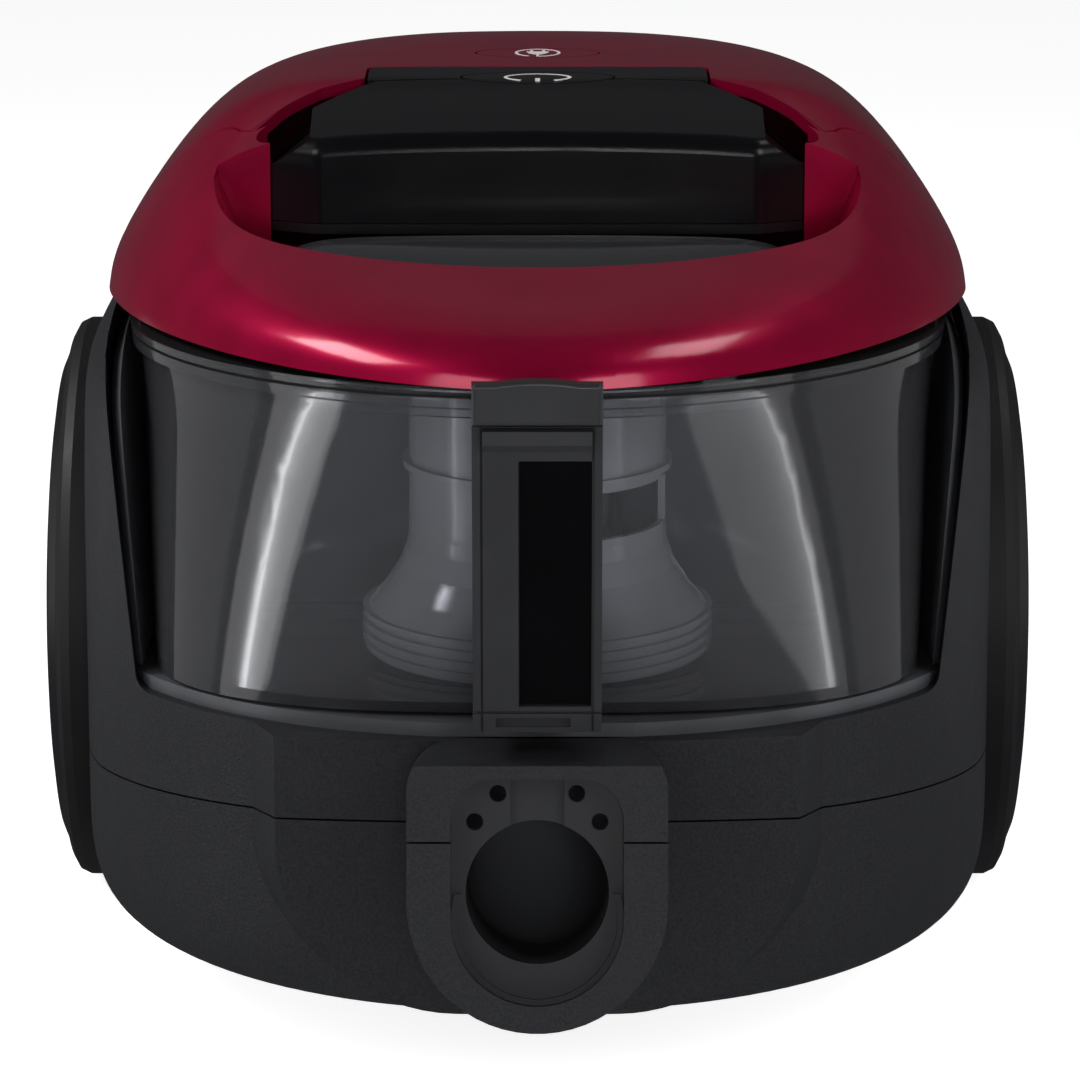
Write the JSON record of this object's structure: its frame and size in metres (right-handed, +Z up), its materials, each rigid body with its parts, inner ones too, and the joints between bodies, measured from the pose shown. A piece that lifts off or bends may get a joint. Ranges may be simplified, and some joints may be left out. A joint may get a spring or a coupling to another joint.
{
  "type": "canister vacuum cleaner",
  "caption": "Bagless canister vacuum cleaner with a clear removable dust bin, glossy top cover, carry handle, hose inlet, large side wheels and front caster",
  "frame": {"origin": "middle of the footprint on the floor under the machine", "axes": "+Z up, -Y is the front where the hose plugs in, +X is to the right when looking at the front"},
  "size_m": [0.272, 0.3981, 0.232],
  "materials": {
    "housing_plastic": "fine-grained charcoal moulded plastic",
    "cover_gloss": "high-gloss dark crimson lacquered plastic",
    "grip_gloss": "satin black moulded plastic",
    "trim_black": "plain black moulded plastic",
    "clear_smoke": "clear smoke-tinted polycarbonate",
    "cyclone_plastic": "translucent grey moulded plastic",
    "mesh_steel": "perforated screen",
    "rubber_black": "soft black rubber",
    "tyre_rubber": "matte black rubber",
    "wheel_plastic": "satin near-black plastic",
    "steel": "plain steel",
    "screw_steel": "blackened steel",
    "sponge": "open-cell foam",
    "filter_paper": "pleated filter medium",
    "winding": "laminated core with varnished winding",
    "fan_alloy": "pressed sheet",
    "board": "printed board with components",
    "interior_grey": "plain grey moulded plastic"
  },
  "bodies": {
    "chassis": {"lower_housing": "housing_plastic", "upper_housing": "housing_plastic", "top_cover_front": "cover_gloss", "top_cover_rear": "cover_gloss", "handle_grip": "grip_gloss", "handle_underside": "trim_black", "lid_window": "clear_smoke", "control_strip": "grip_gloss", "power_switch": "interior_grey", "power_spring": "steel", "rewind_spring": "steel", "rewind_guide": "interior_grey", "brake_pin": "steel", "inlet_faceplate": "trim_black", "faceplate_screws": "screw_steel", "inlet_tube": "trim_black", "inlet_duct": "interior_grey", "port_seal": "rubber_black", "bin_cradle": "trim_black", "filter_frame": "interior_grey", "pre_filter": "sponge", "motor_seal_front": "rubber_black", "motor_bell_front": "steel", "motor_bell_rear": "steel", "motor_stator": "winding", "motor_mount_rear": "rubber_black", "reel_frame": "interior_grey", "reel_spring_case": "steel", "circuit_board": "board", "exhaust_filter": "filter_paper", "exhaust_grille": "trim_black", "cord_outlet_bush": "rubber_black", "wheel_axle_right": "steel", "wheel_axle_left": "steel"},
    "wheel_right": {"wheel_hub_right": "trim_black", "wheel_tyre_right": "tyre_rubber", "wheel_cap_right": "wheel_plastic"},
    "wheel_left": {"wheel_hub_left": "trim_black", "wheel_tyre_left": "tyre_rubber", "wheel_cap_left": "wheel_plastic"},
    "caster": {"caster_fork": "trim_black", "caster_pin": "steel"},
    "caster_roller": {"caster_wheel": "wheel_plastic"},
    "dust_bin": {"bin_shell": "clear_smoke", "bin_gasket": "rubber_black", "bin_lid": "clear_smoke", "cyclone_cylinder": "cyclone_plastic", "cyclone_skirt": "cyclone_plastic", "cyclone_mesh": "mesh_steel", "outlet_duct": "cyclone_plastic", "bin_handle": "grip_gloss"},
    "release_pad": {"push_button": "grip_gloss"},
    "power_key": {"power_button": "grip_gloss"},
    "rewind_key": {"rewind_button": "cover_gloss"},
    "brake": {"brake_lever": "trim_black"},
    "rotor": {"motor_rotor": "winding", "impeller": "fan_alloy"},
    "reel": {"reel_drum": "interior_grey"}
  },
  "joints": [
    {"name": "wheel_right_spin", "type": "hinge", "parent": "chassis", "child": "wheel_right", "pos_m": [0.12, 0.045, 0.079], "axis": [1, 0, 0], "continuous": true},
    {"name": "wheel_left_spin", "type": "hinge", "parent": "chassis", "child": "wheel_left", "pos_m": [-0.12, 0.045, 0.079], "axis": [1, 0, 0], "continuous": true},
    {"name": "caster_swivel", "type": "hinge", "parent": "chassis", "child": "caster", "pos_m": [0, -0.105, 0.024], "axis": [0, 0, 1], "continuous": true},
    {"name": "caster_roll", "type": "hinge", "parent": "caster", "child": "caster_roller", "pos_m": [0, -0.096, 0.0095], "axis": [1, 0, 0], "continuous": true},
    {"name": "bin_removal", "type": "slide", "parent": "chassis", "child": "dust_bin", "axis": [0, -0.9988, 0.0479], "range_m": [0, 0.2]},
    {"name": "release_press", "type": "slide", "parent": "dust_bin", "child": "release_pad", "axis": [0, 1, 0], "range_m": [0, 0.0025], "stiffness_N_per_m": 500, "springref_m": -0.002},
    {"name": "power_press", "type": "slide", "parent": "chassis", "child": "power_key", "axis": [0, 0, -1], "range_m": [0, 0.002], "stiffness_N_per_m": 700, "springref_m": -0.002, "deforming": ["power_spring"]},
    {"name": "rewind_press", "type": "slide", "parent": "chassis", "child": "rewind_key", "axis": [0, 0, -1], "range_m": [0, 0.003], "stiffness_N_per_m": 700, "springref_m": -0.002, "deforming": ["rewind_spring"]},
    {"name": "brake_tip", "type": "hinge", "parent": "chassis", "child": "brake", "pos_m": [0.016, 0.058, 0.186], "axis": [0, -1, 0], "range_deg": [0, 11]},
    {"name": "motor_spin", "type": "hinge", "parent": "chassis", "child": "rotor", "pos_m": [-0.046, 0.09, 0.09], "axis": [0, 1, 0], "continuous": true},
    {"name": "reel_spin", "type": "hinge", "parent": "chassis", "child": "reel", "pos_m": [0.054, 0.088, 0.092], "axis": [1, 0, 0], "continuous": true}
  ],
  "couplings": [
    {"joint": "brake_tip", "follows": "rewind_press", "rad_per_m": 62.5}
  ]
}
